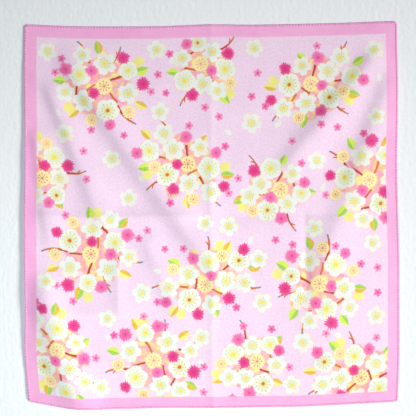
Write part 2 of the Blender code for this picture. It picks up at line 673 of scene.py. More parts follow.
@dataclass(frozen=True)
class PlumBlossom(Motif):
    """Five round white petals that overlap, a golden heart and long stamens."""

    stamens: Stamens = Stamens(12, 0.1, 0.46, 0.70, 0.034, 0.062)

    def draw(self, g: Graph, x: Signal, y: Signal, shade: Signal, mottle: Signal) -> tuple[Signal, Signal]:
        """Each petal is nearly a circle at half the radius, and a seam shows between two. See Motif.draw."""
        along, aside, _ = g.fold(x, y, 5)
        reach = g.length(x, y)
        petal = ((along - 0.50) / 0.48).squared() + (aside / 0.52).squared()
        mask = g.greater(g.within(petal, 1.16, 0.2), g.within(reach, 0.4, 0.06))
        seam = g.step(abs(aside) / (abs(along) + 0.01), 0.58, 0.70) * g.step(reach, 0.3, 0.6)
        colour = g.mix(g.step(reach, 0.2, 0.8), SHELL, SNOW)
        colour = g.mix(seam * 0.5, colour, CREAM)
        colour = g.mix(g.step(petal, 0.7, 1.0) * (0.1 + 0.5 * lit_side(g, x, y)), colour, CREAM)
        colour = g.mix(g.step(mottle, 0.45, 0.75) * 0.3, colour, SHELL)
        colour = g.mix(g.step(petal, 0.98, 1.1) * 0.85, colour, CORAL)
        warm = g.step(shade, 0.45, 0.55)
        colour = g.mix(g.within(reach, 0.3, 0.3) * 0.5, colour, LEMON)
        colour = g.mix(self.stamens.mask(g, x, y, shade), colour, g.mix(warm, POLLEN, OLIVE))
        return g.mix(g.within(reach, 0.15, 0.1), colour, g.mix(warm, GOLD, RUST)), mask


@dataclass(frozen=True)
class Chrysanthemum(Motif):
    """Two rings of narrow butter petals round a red-brown heart."""

    stamens: Stamens = Stamens(9, 0.14, 0.42, 0.60, 0.034, 0.08)

    def draw(self, g: Graph, x: Signal, y: Signal, shade: Signal, mottle: Signal) -> tuple[Signal, Signal]:
        """Sixteen long ellipses make the outer ring, and ten shorter ones lie over it. See Motif.draw."""
        along, aside, _ = g.fold(x, y, 16)
        reach = g.length(x, y)
        outer = ((along - 0.60) / 0.38).squared() + (aside / 0.20).squared()
        along, aside, _ = g.fold(y, x, 10)
        inner = ((along - 0.34) / 0.30).squared() + (aside / 0.14).squared()
        mask = g.greater(g.within(outer, 1.0, 0.25), g.within(reach, 0.82, 0.06))
        colour = g.mix(g.step(outer, 0.55, 1.1) * 0.55, BUTTER, APRICOT)
        colour = g.mix(g.within(inner, 1.0, 0.3) * 0.6, colour, CREAM)
        colour = g.mix(g.step(inner, 0.7, 1.0) * g.within(inner, 1.2, 0.3) * 0.4, colour, APRICOT)
        colour = g.mix(self.stamens.mask(g, x, y, shade) * 0.85, colour, g.mix(shade, CRIMSON, SALMON))
        return g.mix(g.within(reach, 0.12, 0.06), colour, g.mix(shade, RUST, SALMON)), mask


@dataclass(frozen=True)
class FringedPink(Motif):
    """Five fan petals with toothed tips, bright at the rim and deep at the heart."""

    teeth: int = 15

    def draw(self, g: Graph, x: Signal, y: Signal, shade: Signal, mottle: Signal) -> tuple[Signal, Signal]:
        """The rim's radius is that of five fans, less a zigzag of random depth round it. See Motif.draw."""
        along, aside, _ = g.fold(x, y, 5)
        reach = g.length(x, y)
        turn = g.math("ARCTAN2", y, x) * (self.teeth / TAU)
        zigzag = abs(g.math("FRACT", turn) - 0.5) * 2
        tooth = g.lot(g.math("FLOOR", turn), shade)
        sideways = abs(aside) / (abs(along) + 0.01)
        rim = 1.06 - 0.16 * sideways.squared() - (0.12 + 0.36 * tooth) * zigzag
        gap = g.step(sideways, 0.64, 0.72) * g.step(reach, 0.6, 0.85)
        mask = g.within(reach / rim, 1.0, 0.1) * (1.0 - gap)
        bright = g.step(shade, 0.5, 0.62)
        deep = g.mix(bright, ROSE, MAGENTA)
        colour = g.mix(g.step(reach, 0.3, 0.95) * (0.15 + 0.5 * mottle), deep, g.mix(bright, BLUSH, ROSE))
        colour = g.mix(g.step(zigzag, 0.55, 1.0) * g.step(reach, 0.3, 0.7) * 0.55, colour, MAGENTA)
        colour = g.mix(g.within(reach, 0.3, 0.3) * 0.35, colour, MAGENTA)
        return g.mix(g.within(reach, 0.09, 0.06) * 0.7, colour, WINE), mask


@dataclass(frozen=True)
class Floret(Motif):
    """A little pink flower of five narrow petals."""

    def draw(self, g: Graph, x: Signal, y: Signal, shade: Signal, mottle: Signal) -> tuple[Signal, Signal]:
        """Each petal is an ellipse along its sector. See Motif.draw."""
        along, aside, _ = g.fold(x, y, 5)
        reach = g.length(x, y)
        petal = ((along - 0.56) / 0.44).squared() + (aside / 0.36).squared()
        mask = g.greater(g.within(petal, 1.0, 0.4), g.within(reach, 0.36, 0.12))
        colour = g.mix(g.step(mottle, 0.4, 0.7) * 0.5, g.mix(shade, BLUSH, ROSE), ROSE)
        return g.mix(g.within(reach, 0.3, 0.3) * 0.85, colour, MAGENTA), mask


@dataclass(frozen=True)
class LoosePetal(Motif):
    """A single fallen white petal."""

    def draw(self, g: Graph, x: Signal, y: Signal, shade: Signal, mottle: Signal) -> tuple[Signal, Signal]:
        """An ellipse, narrower towards one end, with a nick in the other. See Motif.draw."""
        petal = (x / 0.95).squared() + (y / (0.56 + 0.16 * x)).squared()
        petal = petal + g.within(abs(y), 0.1, 0.12) * g.step(x, 0.6, 0.9) * 0.6
        colour = g.mix(g.step(petal, 0.5, 1.0) * 0.5, SNOW, CREAM)
        return g.mix(g.step(mottle, 0.4, 0.7) * 0.4, colour, SHELL), g.within(petal, 1.0, 0.25)


@dataclass(frozen=True)
class Leaf(Motif):
    """A leaf with unlike halves and a pale midrib, green or yellowed."""

    def draw(self, g: Graph, x: Signal, y: Signal, shade: Signal, mottle: Signal) -> tuple[Signal, Signal]:
        """Its half width is about 0.56 times one minus x squared, fuller near the stalk. See Motif.draw."""
        bow = y - 0.12 * (1.0 - x.squared())
        half = g.greater((1.0 - x.squared()) * (0.56 - 0.12 * x), 0.001)
        blade = g.within(abs(bow) / half, 1.0, 0.2) * g.math("LESS_THAN", abs(x), 1.0)
        upper = g.step(bow, -0.03, 0.03)
        green = g.mix(upper, LEAF_GREEN, LIME)
        yellow = g.mix(upper, MUSTARD, STRAW)
        both = g.mix(upper, LEAF_GREEN, MUSTARD)
        colour = g.mix(g.step(shade, 0.28, 0.3), both, g.mix(g.step(shade, 0.68, 0.7), green, yellow))
        colour = g.mix(g.step(mottle, 0.4, 0.7) * 0.3, colour, LEMON)
        return g.mix(g.within(abs(bow), 0.025, 0.03) * 0.6, colour, CREAM), blade


@dataclass(frozen=True)
class Twig(Motif):
    """A bowed twig with one side shoot."""

    def draw(self, g: Graph, x: Signal, y: Signal, shade: Signal, mottle: Signal) -> tuple[Signal, Signal]:
        """The twig is a thick parabola, and the shoot a straight line off it. See Motif.draw."""
        bow = y - 0.2 * (1.0 - x.squared()) + 0.1
        thick = 0.082 - 0.02 * x
        stem = g.within(abs(bow) / thick, 1.0, 0.4) * g.math("LESS_THAN", abs(x), 0.94)
        shoot = g.within(abs(bow + 0.8 * (x - 0.1)) / 0.07, 1.0, 0.4)
        shoot = shoot * g.math("GREATER_THAN", x, 0.1) * g.math("LESS_THAN", x, 0.42)
        colour = g.mix(g.step(x + mottle * 0.6, -0.2, 0.9), CLARET, RUST)
        colour = g.mix(g.step(bow, 0.0, 0.08) * 0.4, colour, APRICOT)
        return g.mix(g.step(x, 0.7, 0.8), colour, TEAL), g.greater(stem, shoot)


@dataclass(frozen=True)
class Spur(Motif):
    """A short thick piece of branch, as shows between two flowers."""

    def draw(self, g: Graph, x: Signal, y: Signal, shade: Signal, mottle: Signal) -> tuple[Signal, Signal]:
        """A slightly bowed bar, about 0.15 of its radius to each side, thicker at one end. See Motif.draw."""
        bar = g.within(abs(y + 0.1 * x.squared()) / (0.15 + 0.04 * x), 1.0, 0.4)
        colour = g.mix(g.step(shade + mottle * 0.4, 0.6, 1.0), CLARET, RUST)
        colour = g.mix(g.step(y, -0.02, 0.1) * 0.3, colour, APRICOT)
        return colour, bar * g.within(abs(x), 0.85, 0.1)


@dataclass(frozen=True)
class Bud(Motif):
    """A round straw-yellow bud."""

    def draw(self, g: Graph, x: Signal, y: Signal, shade: Signal, mottle: Signal) -> tuple[Signal, Signal]:
        """A disc, a little narrower to one side, deeper towards its foot. See Motif.draw."""
        disc = x.squared() + (y / (0.86 + 0.1 * x)).squared()
        colour = g.mix(g.step(x, -0.2, 0.9) * 0.5, g.mix(shade * 0.5, STRAW, LEMON), CREAM)
        return g.mix(g.step(mottle, 0.4, 0.7) * 0.4, colour, STRAW), g.within(disc, 0.85, 0.2)


@dataclass(frozen=True)
class Wash(Motif):
    """A loose wash of warm dyes under a bunch, which shows between its flowers."""

    def draw(self, g: Graph, x: Signal, y: Signal, shade: Signal, mottle: Signal) -> tuple[Signal, Signal]:
        """A disc whose rim and dyes both wander with noise. See Motif.draw."""
        reach = g.length(x, y)
        wander = g.noise(g.join(x, y, shade * 9.0), 0.42, 1.0)
        patch = g.noise(g.join(x, y, shade * 9.0 + 4.0), 0.3, 1.0)
        mask = g.within(reach + (wander - 0.5) * 1.1, 0.9, 0.14)
        colour = g.ramp(g.step(patch, 0.3, 0.7), LEMON, APRICOT, SALMON, BLUSH, ROSE, SALMON, APRICOT)
        return g.mix(mottle * 0.5, colour, PEACH), mask * 0.9


class Layer(Enum):
    """The layers of the print, each with its one motif, the lowest first.

    The cherry blossoms lie in two layers, so that they can overlap. Both are drawn by the first one's group,
    and the second's stamens differ only because an Enum takes two equal values for one member.
    """

    WASH = Wash()
    BUD = Bud()
    TWIG = Twig()
    LEAF = Leaf()
    SPUR = Spur()
    PETAL = LoosePetal()
    FLORET = Floret()
    PLUM = PlumBlossom()
    CHERRY = CherryBlossom()
    CHERRY_OVER = CherryBlossom(Stamens(11, 0.12, 0.29, 0.48, 0.027, 0.054))
    KIKU = Chrysanthemum()
    PINK = FringedPink()

    @property
    def attribute(self) -> str:
        """The name of the attribute that says where each face lies on its motif of this layer."""
        return "print_" + self.name.lower()


# The layout of the print.


class Stamp(NamedTuple):
    """One motif in its place, in mm right and down, with its radius, its turn in degrees and its shade."""

    layer: Layer
    across: float
    down: float
    radius: float
    turn: float
    shade: float


def stamp_rows(**layers: tuple) -> tuple[Stamp, ...]:
    """Makes motifs from rows of across, down, radius, turn and shade, under the names of their layers."""
    return tuple(Stamp(Layer[name.upper()], *row) for name, rows in layers.items() for row in rows)


class Bunch(NamedTuple):
    """Where a bunch lies: its spray, its centre, its turn in degrees, and 1, or -1 if it is mirrored."""

    kind: str
    across: float
    down: float
    turn: float
    hand: int


SPRAYS = {
    "round": stamp_rows(
        wash=(
            (0, 0, 41, 0, 0.15),
        ),
        twig=(
            (-36, -33, 17, 220, 0.2),
            (42, 26, 18, 25, 0.7),
            (4, -41, 15, 282, 0.5),
        ),
        leaf=(
            (-22, -44, 9.5, 235, 0.1),
            (41, -36, 10, 320, 0.3),
            (-22, 46, 9.5, 115, 0.8),
            (-53, 14, 9, 165, 0.4),
            (56, 6, 9, 5, 0.9),
        ),
        floret=(
            (62, -14, 5.5, 10, 0.3),
            (-60, -14, 5.5, 50, 0.8),
            (6, 58, 5.5, 30, 0.5),
        ),
        bud=(
            (34, -45, 8, 300, 0.2),
            (-31, 41, 7.5, 120, 0.7),
        ),
        spur=(
            (14, -15, 10, 320, 0.2),
            (19, 10, 9.5, 35, 0.7),
            (-29, 15, 9.5, 80, 0.4),
            (-13, 8, 8.5, 120, 0.9),
        ),
        plum=(
            (-31, -3, 15, 20, 0.2),
            (18, 28, 15.5, 65, 0.8),
            (25, -30, 12.5, 5, 0.4),
        ),
        cherry=(
            (-6, -28, 15.5, 12, 0.31),
            (-15, 27, 15, 30, 0.87),
        ),
        cherry_over=(
            (35, -2, 14.5, 48, 0.62),
            (-37, -28, 12.5, 15, 0.18),
            (-41, 25, 13, 40, 0.42),
        ),
        kiku=(
            (3, 0, 11.5, 0, 0.3),
            (44, 20, 9, 0, 0.8),
            (2, 46, 8.5, 0, 0.5),
        ),
        pink=(
            (-19, -13, 8.5, 15, 0.2),
            (49, -20, 9.5, 40, 0.9),
            (-6, 13, 8, 0, 0.8),
            (13, -43, 9, 25, 0.6),
            (-50, -3, 9.5, 5, 0.35),
            (27, 44, 8, 60, 0.15),
        ),
    ),
    "long": stamp_rows(
        wash=(
            (0, 0, 40, 0, 0.55),
        ),
        twig=(
            (-52, 13, 17, 165, 0.4),
            (48, -26, 17, 335, 0.1),
            (18, 40, 15, 65, 0.8),
        ),
        leaf=(
            (0, -39, 9.5, 260, 0.2),
            (41, 31, 9.5, 40, 0.9),
            (-30, 36, 9.5, 130, 0.3),
            (65, -5, 9, 350, 0.15),
            (-52, -22, 9, 215, 0.7),
        ),
        floret=(
            (-67, -3, 5.5, 20, 0.6),
            (25, -45, 5.5, 0, 0.9),
            (-12, 49, 5.5, 45, 0.4),
        ),
        bud=(
            (33, 36, 8, 70, 0.5),
            (-44, -28, 7.5, 230, 0.1),
        ),
        spur=(
            (-13, 0, 9, 60, 0.3),
            (8, -17, 10, 310, 0.8),
            (30, 7, 9, 20, 0.1),
            (-31, 4, 9, 330, 0.6),
        ),
        plum=(
            (-28, -15, 15.5, 40, 0.7),
            (12, 22, 15.5, 10, 0.3),
            (49, 10, 14.5, 33, 0.9),
        ),
        cherry=(
            (-18, 16, 15, 60, 0.44),
            (24, -9, 15, 25, 0.13),
        ),
        cherry_over=(
            (-47, 9, 14, 0, 0.71),
            (-3, -30, 13, 30, 0.29),
            (46, -19, 14, 48, 0.56),
        ),
        kiku=(
            (-2, -4, 11, 0, 0.5),
            (31, 23, 9, 0, 0.1),
            (-34, 29, 8.5, 0, 0.85),
        ),
        pink=(
            (20, -31, 9, 70, 0.9),
            (-5, 33, 8.5, 20, 0.3),
            (-24, -36, 8.5, 0, 0.6),
            (9, 4, 7.5, 0, 0.1),
            (60, 21, 8.5, 50, 0.75),
            (-57, -7, 8, 35, 0.45),
        ),
    ),
    "small": stamp_rows(
        wash=(
            (0, 0, 34, 0, 0.85),
        ),
        twig=(
            (36, 24, 15, 40, 0.3),
            (-32, -30, 15, 225, 0.9),
        ),
        leaf=(
            (-42, 14, 9, 165, 0.7),
            (39, -26, 9, 315, 0.2),
            (4, 41, 8.5, 95, 0.35),
        ),
        floret=(
            (-20, 45, 5.5, 15, 0.7),
            (50, 0, 5.5, 60, 0.2),
        ),
        bud=(
            (33, -32, 7.5, 300, 0.8),
        ),
        spur=(
            (0, 19, 9, 100, 0.5),
            (-19, 18, 9, 50, 0.2),
            (12, -8, 9, 340, 0.8),
        ),
        plum=(
            (1, -26, 15, 0, 0.9),
            (15, 26, 14.5, 50, 0.2),
            (-33, 9, 12.5, 30, 0.5),
        ),
        cherry=(
            (-21, -10, 14, 66, 0.52),
            (29, -16, 13.5, 10, 0.35),
        ),
        cherry_over=(
            (20, 3, 14, 21, 0.23),
            (-14, 29, 13, 50, 0.8),
        ),
        kiku=(
            (-6, 5, 11, 0, 0.7),
            (19, -33, 8.5, 0, 0.4),
        ),
        pink=(
            (3, -9, 8, 10, 0.2),
            (34, 16, 9, 35, 0.8),
            (-19, -30, 9, 35, 0.55),
            (-32, 23, 8, 15, 0.05),
        ),
    ),
}

BUNCHES = (
    Bunch("round", 100, 76, 20, 1),
    Bunch("small", 232, 56, 90, 1),
    Bunch("long", 372, 80, -24, 1),
    Bunch("small", 22, 190, 40, -1),
    Bunch("long", 206, 180, 35, -1),
    Bunch("round", 444, 206, 70, -1),
    Bunch("round", 88, 290, 150, 1),
    Bunch("small", 322, 214, 200, 1),
    Bunch("long", 232, 328, 160, -1),
    Bunch("round", 378, 336, 250, 1),
    Bunch("long", 40, 420, 66, 1),
    Bunch("small", 290, 434, 300, -1),
    Bunch("round", 168, 430, 20, -1),
    Bunch("long", 430, 452, 190, 1),
)

LOOSE = stamp_rows(
    cherry=(
        (30, 34, 12.5, 20, 0.12),
        (170, 30, 13, 50, 0.45),
        (296, 30, 12.5, 5, 0.91),
        (450, 36, 13, 35, 0.37),
        (174, 110, 13, 64, 0.73),
        (292, 126, 13.5, 15, 0.26),
        (452, 122, 12.5, 42, 0.58),
        (112, 170, 13, 28, 0.84),
        (134, 220, 12, 60, 0.19),
        (262, 258, 13.5, 10, 0.66),
        (376, 176, 12.5, 55, 0.33),
        (372, 262, 13, 31, 0.97),
        (150, 342, 13, 45, 0.08),
        (304, 356, 13.5, 22, 0.52),
        (28, 330, 12.5, 0, 0.79),
        (106, 374, 12.5, 70, 0.41),
        (226, 400, 13, 37, 0.64),
        (356, 408, 13.5, 12, 0.22),
        (450, 378, 13, 58, 0.88),
        (96, 462, 12.5, 25, 0.15),
        (342, 462, 13, 48, 0.7),
        (446, 284, 12.5, 16, 0.47),
    ),
    cherry_over=(
        (52, 138, 12.5, 33, 0.3),
        (300, 300, 13, 52, 0.6),
        (232, 254, 12, 6, 0.9),
    ),
    floret=(
        (40, 60, 5.5, 15, 0.2),
        (172, 62, 5.5, 40, 0.6),
        (182, 86, 5, 0, 0.9),
        (300, 62, 5.5, 60, 0.4),
        (292, 92, 5.5, 25, 0.7),
        (76, 160, 5.5, 50, 0.3),
        (128, 140, 5, 10, 0.8),
        (250, 118, 5.5, 35, 0.5),
        (344, 150, 5.5, 20, 0.1),
        (402, 134, 5.5, 55, 0.6),
        (258, 156, 5.5, 5, 0.9),
        (80, 196, 5.5, 30, 0.4),
        (158, 262, 5.5, 45, 0.2),
        (180, 286, 5, 12, 0.7),
        (398, 286, 5.5, 65, 0.5),
        (322, 276, 5.5, 22, 0.8),
        (452, 316, 5.5, 38, 0.3),
        (280, 386, 5.5, 58, 0.6),
        (316, 390, 5.5, 18, 0.9),
        (152, 372, 5.5, 3, 0.1),
        (180, 384, 5, 48, 0.4),
        (376, 456, 5.5, 28, 0.7),
        (62, 352, 5.5, 10, 0.5),
        (228, 470, 5.5, 62, 0.2),
        (452, 348, 5.5, 14, 0.8),
    ),
    petal=(
        (44, 112, 5.5, 60, 0.2),
        (190, 44, 5.5, 110, 0.5),
        (262, 138, 5.5, 30, 0.8),
        (326, 128, 5.5, 150, 0.3),
        (456, 72, 5.5, 75, 0.6),
        (150, 196, 5.5, 45, 0.9),
        (384, 210, 5.5, 120, 0.1),
        (170, 314, 5.5, 15, 0.4),
        (290, 276, 5.5, 95, 0.7),
        (108, 396, 5.5, 135, 0.2),
        (328, 424, 5.5, 50, 0.5),
        (226, 432, 5.5, 80, 0.9),
        (400, 400, 5.5, 20, 0.3),
    ),
)


@dataclass(frozen=True)
class PrintLayout:
    """Where every motif of the print lies on the cloth, in millimetres."""

    clearance: float = 3.4
    shade_step: float = 0.137

    @cached_property
    def stamps(self) -> tuple[Stamp, ...]:
        """All motifs, with the bunches turned, mirrored and moved to their places.

        A point of a bunch is mirrored, then turned by the bunch's angle, then moved to its centre. Each bunch
        has its shades moved on by a step, so that no two bunches are dyed alike.

        Returns:
            The motifs.
        """
        placed = list(LOOSE)
        for number, bunch in enumerate(BUNCHES):
            turn = math.radians(bunch.turn)
            cosine, sine = math.cos(turn), math.sin(turn)
            for stamp in SPRAYS[bunch.kind]:
                x, y = stamp.across * bunch.hand, stamp.down
                heading = stamp.turn if bunch.hand > 0 else 180 - stamp.turn
                placed.append(
                    stamp._replace(
                        across=bunch.across + x * cosine - y * sine,
                        down=bunch.down + x * sine + y * cosine,
                        turn=heading + bunch.turn,
                        shade=(stamp.shade + self.shade_step * number) % 1.0,
                    )
                )
        return tuple(placed)

    def layer(self, layer: Layer) -> tuple[Stamp, ...]:
        """The motifs of one layer."""
        return tuple(stamp for stamp in self.stamps if stamp.layer is layer)

    def crowded(self, layer: Layer) -> list[tuple[Stamp, Stamp, float]]:
        """The pairs of one layer that lie closer than the clearance.

        Args:
            layer: The layer.

        Returns:
            The two motifs of each pair, and what they lack in mm.
        """
        stamps = self.layer(layer)
        pairs = []
        for number, first in enumerate(stamps):
            for second in stamps[number + 1 :]:
                apart = math.hypot(first.across - second.across, first.down - second.down)
                lack = first.radius + second.radius + self.clearance - apart
                if lack > 0:
                    pairs.append((first, second, lack))
        return pairs

    def places(self, layer: Layer, corner_across: Array, corner_down: Array) -> Array:
        """Says for every face corner where it lies on the nearest motif of one layer.

        The nearest motif of a face is the one whose rim is nearest to the face's middle. A corner's place is
        turned back by the motif's turn and divided by its radius, so that the rim is at 1.

        Args:
            layer: The layer.
            corner_across: Millimetres from the left edge, for each face's four corners.
            corner_down: Millimetres from the top edge, likewise.

        Returns:
            An array of faces by 4 by 3: right, down, and the motif's shade.
        """
        table = np.array([stamp[1:] for stamp in self.layer(layer)])
        across, down, radius, turn, shade = table.T
        middle_across = corner_across.mean(axis=1)[:, None]
        middle_down = corner_down.mean(axis=1)[:, None]
        gap = np.hypot(middle_across - across, middle_down - down) - radius
        near = gap.argmin(axis=1)
        dx = (corner_across - across[near, None]) / radius[near, None]
        dy = (corner_down - down[near, None]) / radius[near, None]
        back = np.radians(turn[near, None])
        x = dx * np.cos(back) + dy * np.sin(back)
        y = dy * np.cos(back) - dx * np.sin(back)
        return np.stack((x, y, np.broadcast_to(shade[near, None], x.shape)), axis=-1)


# The finishes.


def new_material(name: str) -> tuple[Graph, bpy.types.Node]:
    """Starts a material.

    Args:
        name: The finish's name.

    Returns:
        A graph of its node tree, and its Principled BSDF.
    """
    material = bpy.data.materials.new(name)
    material.use_nodes = True
    return Graph(material.node_tree), material.node_tree.nodes["Principled BSDF"]


@dataclass(frozen=True)
class FlowerPrint:
    """The dyes on the cloth: pale ground, flowers, and the plain border stripe, in millimetres."""

    width: float
    height: float
    ground: Dye = Dye(239, 213, 231)
    ground_deep: Dye = Dye(229, 198, 221)
    border: Dye = Dye(241, 176, 216)
    border_deep: Dye = Dye(237, 165, 208)
    border_left: float = 15.8
    border_right: float = 14.9
    border_top: float = 15.7
    border_bottom: float = 14.3
    mottle_size: float = 2.6
    cloud_size: float = 24.0
    wander_size: float = 7.0
    wander: float = 0.11

    def group(self) -> bpy.types.NodeTree:
        """The print as a node group, from the place on the cloth in mm to Colour, built once.

        Each layer is laid over those below by its mask, and its drawn lines wander a little with noise. The
        border's mask is the least of the distances to the four edges, less the stripe's width there.

        Returns:
            The group.
        """
        name = "flower_print"
        if name in bpy.data.node_groups:
            return bpy.data.node_groups[name]
        tree = bpy.data.node_groups.new(name, "ShaderNodeTree")
        tree.interface.new_socket("Place", in_out="INPUT", socket_type="NodeSocketVector")
        tree.interface.new_socket("Colour", in_out="OUTPUT", socket_type="NodeSocketColor")
        g = Graph(tree)
        place = g.node("NodeGroupInput", {}, "Place")
        mottle = g.noise(place, self.mottle_size, 3.0)
        clouds = g.noise(place, self.cloud_size, 2.0)
        colour = g.mix(g.step(mottle * 0.9 + clouds * 0.15, 0.30, 0.75), self.ground, self.ground_deep)
        wander = g.noise(place, self.wander_size, 1.0, "Color")
        wander = g.node("ShaderNodeVectorMath", {0: wander, 1: (0.5, 0.5, 0.5)}, operation="SUBTRACT")
        reach = (self.wander, self.wander, 0.0)
        wander = g.node("ShaderNodeVectorMath", {0: wander, 1: reach}, operation="MULTIPLY")
        for layer in Layer:
            spot = g.node("ShaderNodeAttribute", {}, "Vector", attribute_name=layer.attribute)
            spot = g.node("ShaderNodeVectorMath", {0: spot, 1: wander}, operation="ADD")
            drawn = g.placed(layer.value.group(), {"Place": spot, "Mottle": mottle})
            colour = g.mix(g.other(drawn, "Mask"), colour, g.other(drawn, "Colour"))
        across, down, _ = g.split(place)
        right, bottom = self.width - self.border_right, self.height - self.border_bottom
        from_sides = g.math("MINIMUM", across - self.border_left, right - across)
        from_ends = g.math("MINIMUM", down - self.border_top, bottom - down)
        inside = g.math("MINIMUM", from_sides, from_ends) + (mottle - 0.5) * 0.5
        stripe = g.mix(g.step(mottle * 0.6 + clouds * 0.6, 0.4, 0.8), self.border, self.border_deep)
        colour = g.mix(g.within(inside, 0.0, 0.5), colour, stripe)
        ends = tree.nodes.new("NodeGroupOutput")
        g.feed(ends.inputs["Colour"], colour)
        return tree


@dataclass(frozen=True)
class PlainWeave:
    """The over and under of warp and weft, with a few thicker threads, in millimetres."""

    pitch: float = 0.38
    drift: float = 0.9
    drift_size: float = 9.0
    slub_size: float = 0.7
    slub_stretch: float = 0.04
    weft_start: float = 50.0

    def group(self) -> bpy.types.NodeTree:
        """The weave as a node group, from Place on the cloth in mm and Pitch to Height and Slub, built once.

        Height is the product of two sine waves, which gives the over and under of warp and weft, wandering a
        little with noise. Slub is noise drawn out along the warp and along the weft, for thicker threads.

        Returns:
            The group.
        """
        name = "plain_weave"
        if name in bpy.data.node_groups:
            return bpy.data.node_groups[name]
        tree = bpy.data.node_groups.new(name, "ShaderNodeTree")
        tree.interface.new_socket("Place", in_out="INPUT", socket_type="NodeSocketVector")
        tree.interface.new_socket("Pitch", in_out="INPUT", socket_type="NodeSocketFloat")
        tree.interface.new_socket("Height", in_out="OUTPUT", socket_type="NodeSocketFloat")
        tree.interface.new_socket("Slub", in_out="OUTPUT", socket_type="NodeSocketFloat")
        g = Graph(tree)
        place = g.node("NodeGroupInput", {}, "Place")
        pitch = g.other(place, "Pitch")
        across, down, _ = g.split(place)
        drift = g.noise(place, self.drift_size, 2.0) * self.drift
        warp = g.math("SINE", (across + drift) * math.pi / pitch)
        weft = g.math("SINE", (down - drift) * math.pi / pitch)
        upright = g.noise(g.join(across, down * self.slub_stretch), self.slub_size, 1.0)
        level = g.noise(g.join(across * self.slub_stretch, down + self.weft_start), self.slub_size, 1.0)
        ends = tree.nodes.new("NodeGroupOutput")
        g.feed(ends.inputs["Height"], 0.5 + 0.5 * (warp * weft))
        g.feed(ends.inputs["Slub"], (upright + level) * 0.5)
        return tree


@dataclass(frozen=True)
class PrintedCotton:
    """Thin plain-weave cotton with the print dyed in: full on the face, and washed out on the back."""

    dyes: FlowerPrint
    weave: PlainWeave = PlainWeave()
    tone: float = 0.955
    slub_tone: float = 0.06
    # A painted highlight: how much lighter the weave's rises are tinted.
    weave_tone: float = 0.03
    slub_height: float = 2.0
    relief: float = 0.06
    roughness: float = 0.86
    sheen: float = 0.12
    back_share: float = 0.42
    back_cloth: Dye = Dye(249, 238, 246)

    def material(self, name: str, is_back: bool) -> bpy.types.Material:
        """Builds the finish of one side.

        The dye is multiplied by a tone that is a little lighter on thick threads, and lighter on the weave's
        rises as a painted highlight.

        Args:
            name: The material's name.
            is_back: Whether the print only shows through.

        Returns:
            The material.
        """
        g, shader = new_material(name)
        uv = g.node("ShaderNodeUVMap", {}, uv_map=PLACE_MAP)
        place = g.stretched(uv, (self.dyes.width, self.dyes.height, 1.0))
        colour = g.placed(self.dyes.group(), {"Place": place})
        height = g.placed(self.weave.group(), {"Place": place, "Pitch": self.weave.pitch})
        slub = g.other(height, "Slub")
        if is_back:
            colour = g.mix(self.back_share, self.back_cloth, colour)
        # Painted highlight: the tone is a little higher where the weave rises.
        tone = self.tone + self.slub_tone * slub + self.weave_tone * height
        tone = g.node("ShaderNodeCombineColor", {0: tone, 1: tone, 2: tone})
        g.feed(shader.inputs["Base Color"], g.mix(1.0, colour, tone, "MULTIPLY"))
        g.feed(shader.inputs["Roughness"], self.roughness + 0.08 * (slub - 0.5))
        relief = height + self.slub_height * slub
        bump = {"Strength": 0.35, "Distance": self.relief * MM, "Height": relief}
        g.feed(shader.inputs["Normal"], g.node("ShaderNodeBump", bump))
        shader.inputs["Sheen Weight"].default_value = self.sheen
        shader.inputs["Sheen Roughness"].default_value = 0.5
        shader.inputs["Specular IOR Level"].default_value = 0.25
        return bpy.data.materials[name]


@dataclass(frozen=True)
class SewingThread:
    """Loosely twisted thread, whose two plies show as slanting stripes. It may have painted shade at its
    rims: a darker dye on the outer side of the roll, for the shaded gaps between the wound strokes.

    twist is how many times the plies go round in one pitch of the edge, and the other sizes are in mm.
    """

    name: str
    dye: Dye
    dye_deep: Dye
    rim: Optional[Dye] = None
    plies: float = 2.0
    twist: float = 5.0
    fuzz_size: float = 0.9
    relief: float = 0.05
    roughness: float = 0.7
    sheen: float = 0.2

    def material(self) -> bpy.types.Material:
        """Builds the finish. The plies are a sine wave of the place round the thread and along it.

        Returns:
            The material.
        """
        g, shader = new_material(self.name)
        uv = g.node("ShaderNodeUVMap", {}, uv_map=PLACE_MAP)
        along, around, _ = g.split(uv)
        plies = 0.5 + 0.5 * g.math("SINE", (around * self.plies + along * self.twist) * TAU)
        fuzz = g.noise(g.node("ShaderNodeTexCoord", {}, "Object"), self.fuzz_size * MM, 2.0)
        shade = g.step(plies * 0.5 + fuzz * 0.7, 0.25, 0.95)
        colour = g.mix(shade, self.dye_deep, self.dye)
        # Painted shade: the outer side of the tube, where its map's second coordinate nears 0 and 1, is
        # darkened to the rim dye.
        if self.rim:
            colour = g.mix(g.within(0.5 - abs(around - 0.5), 0.13, 0.12), colour, self.rim)
        g.feed(shader.inputs["Base Color"], colour)
        g.feed(shader.inputs["Roughness"], self.roughness + 0.15 * (fuzz - 0.5))
        bump = {"Strength": 0.4, "Distance": self.relief * MM, "Height": plies}
        g.feed(shader.inputs["Normal"], g.node("ShaderNodeBump", bump))
        shader.inputs["Sheen Weight"].default_value = self.sheen
        return bpy.data.materials[self.name]


EDGE_ROLL_COTTON = SewingThread(
    "edge_roll_cotton",
    dye=Dye(232, 152, 202),
    dye_deep=Dye(214, 124, 182),
    # The rim dye is painted shade on the roll's outer side.
    rim=Dye(186, 96, 156),
)
EDGE_THREAD_PINK = SewingThread("edge_thread_pink", dye=Dye(252, 204, 238), dye_deep=Dye(244, 182, 222))


# The pieces.


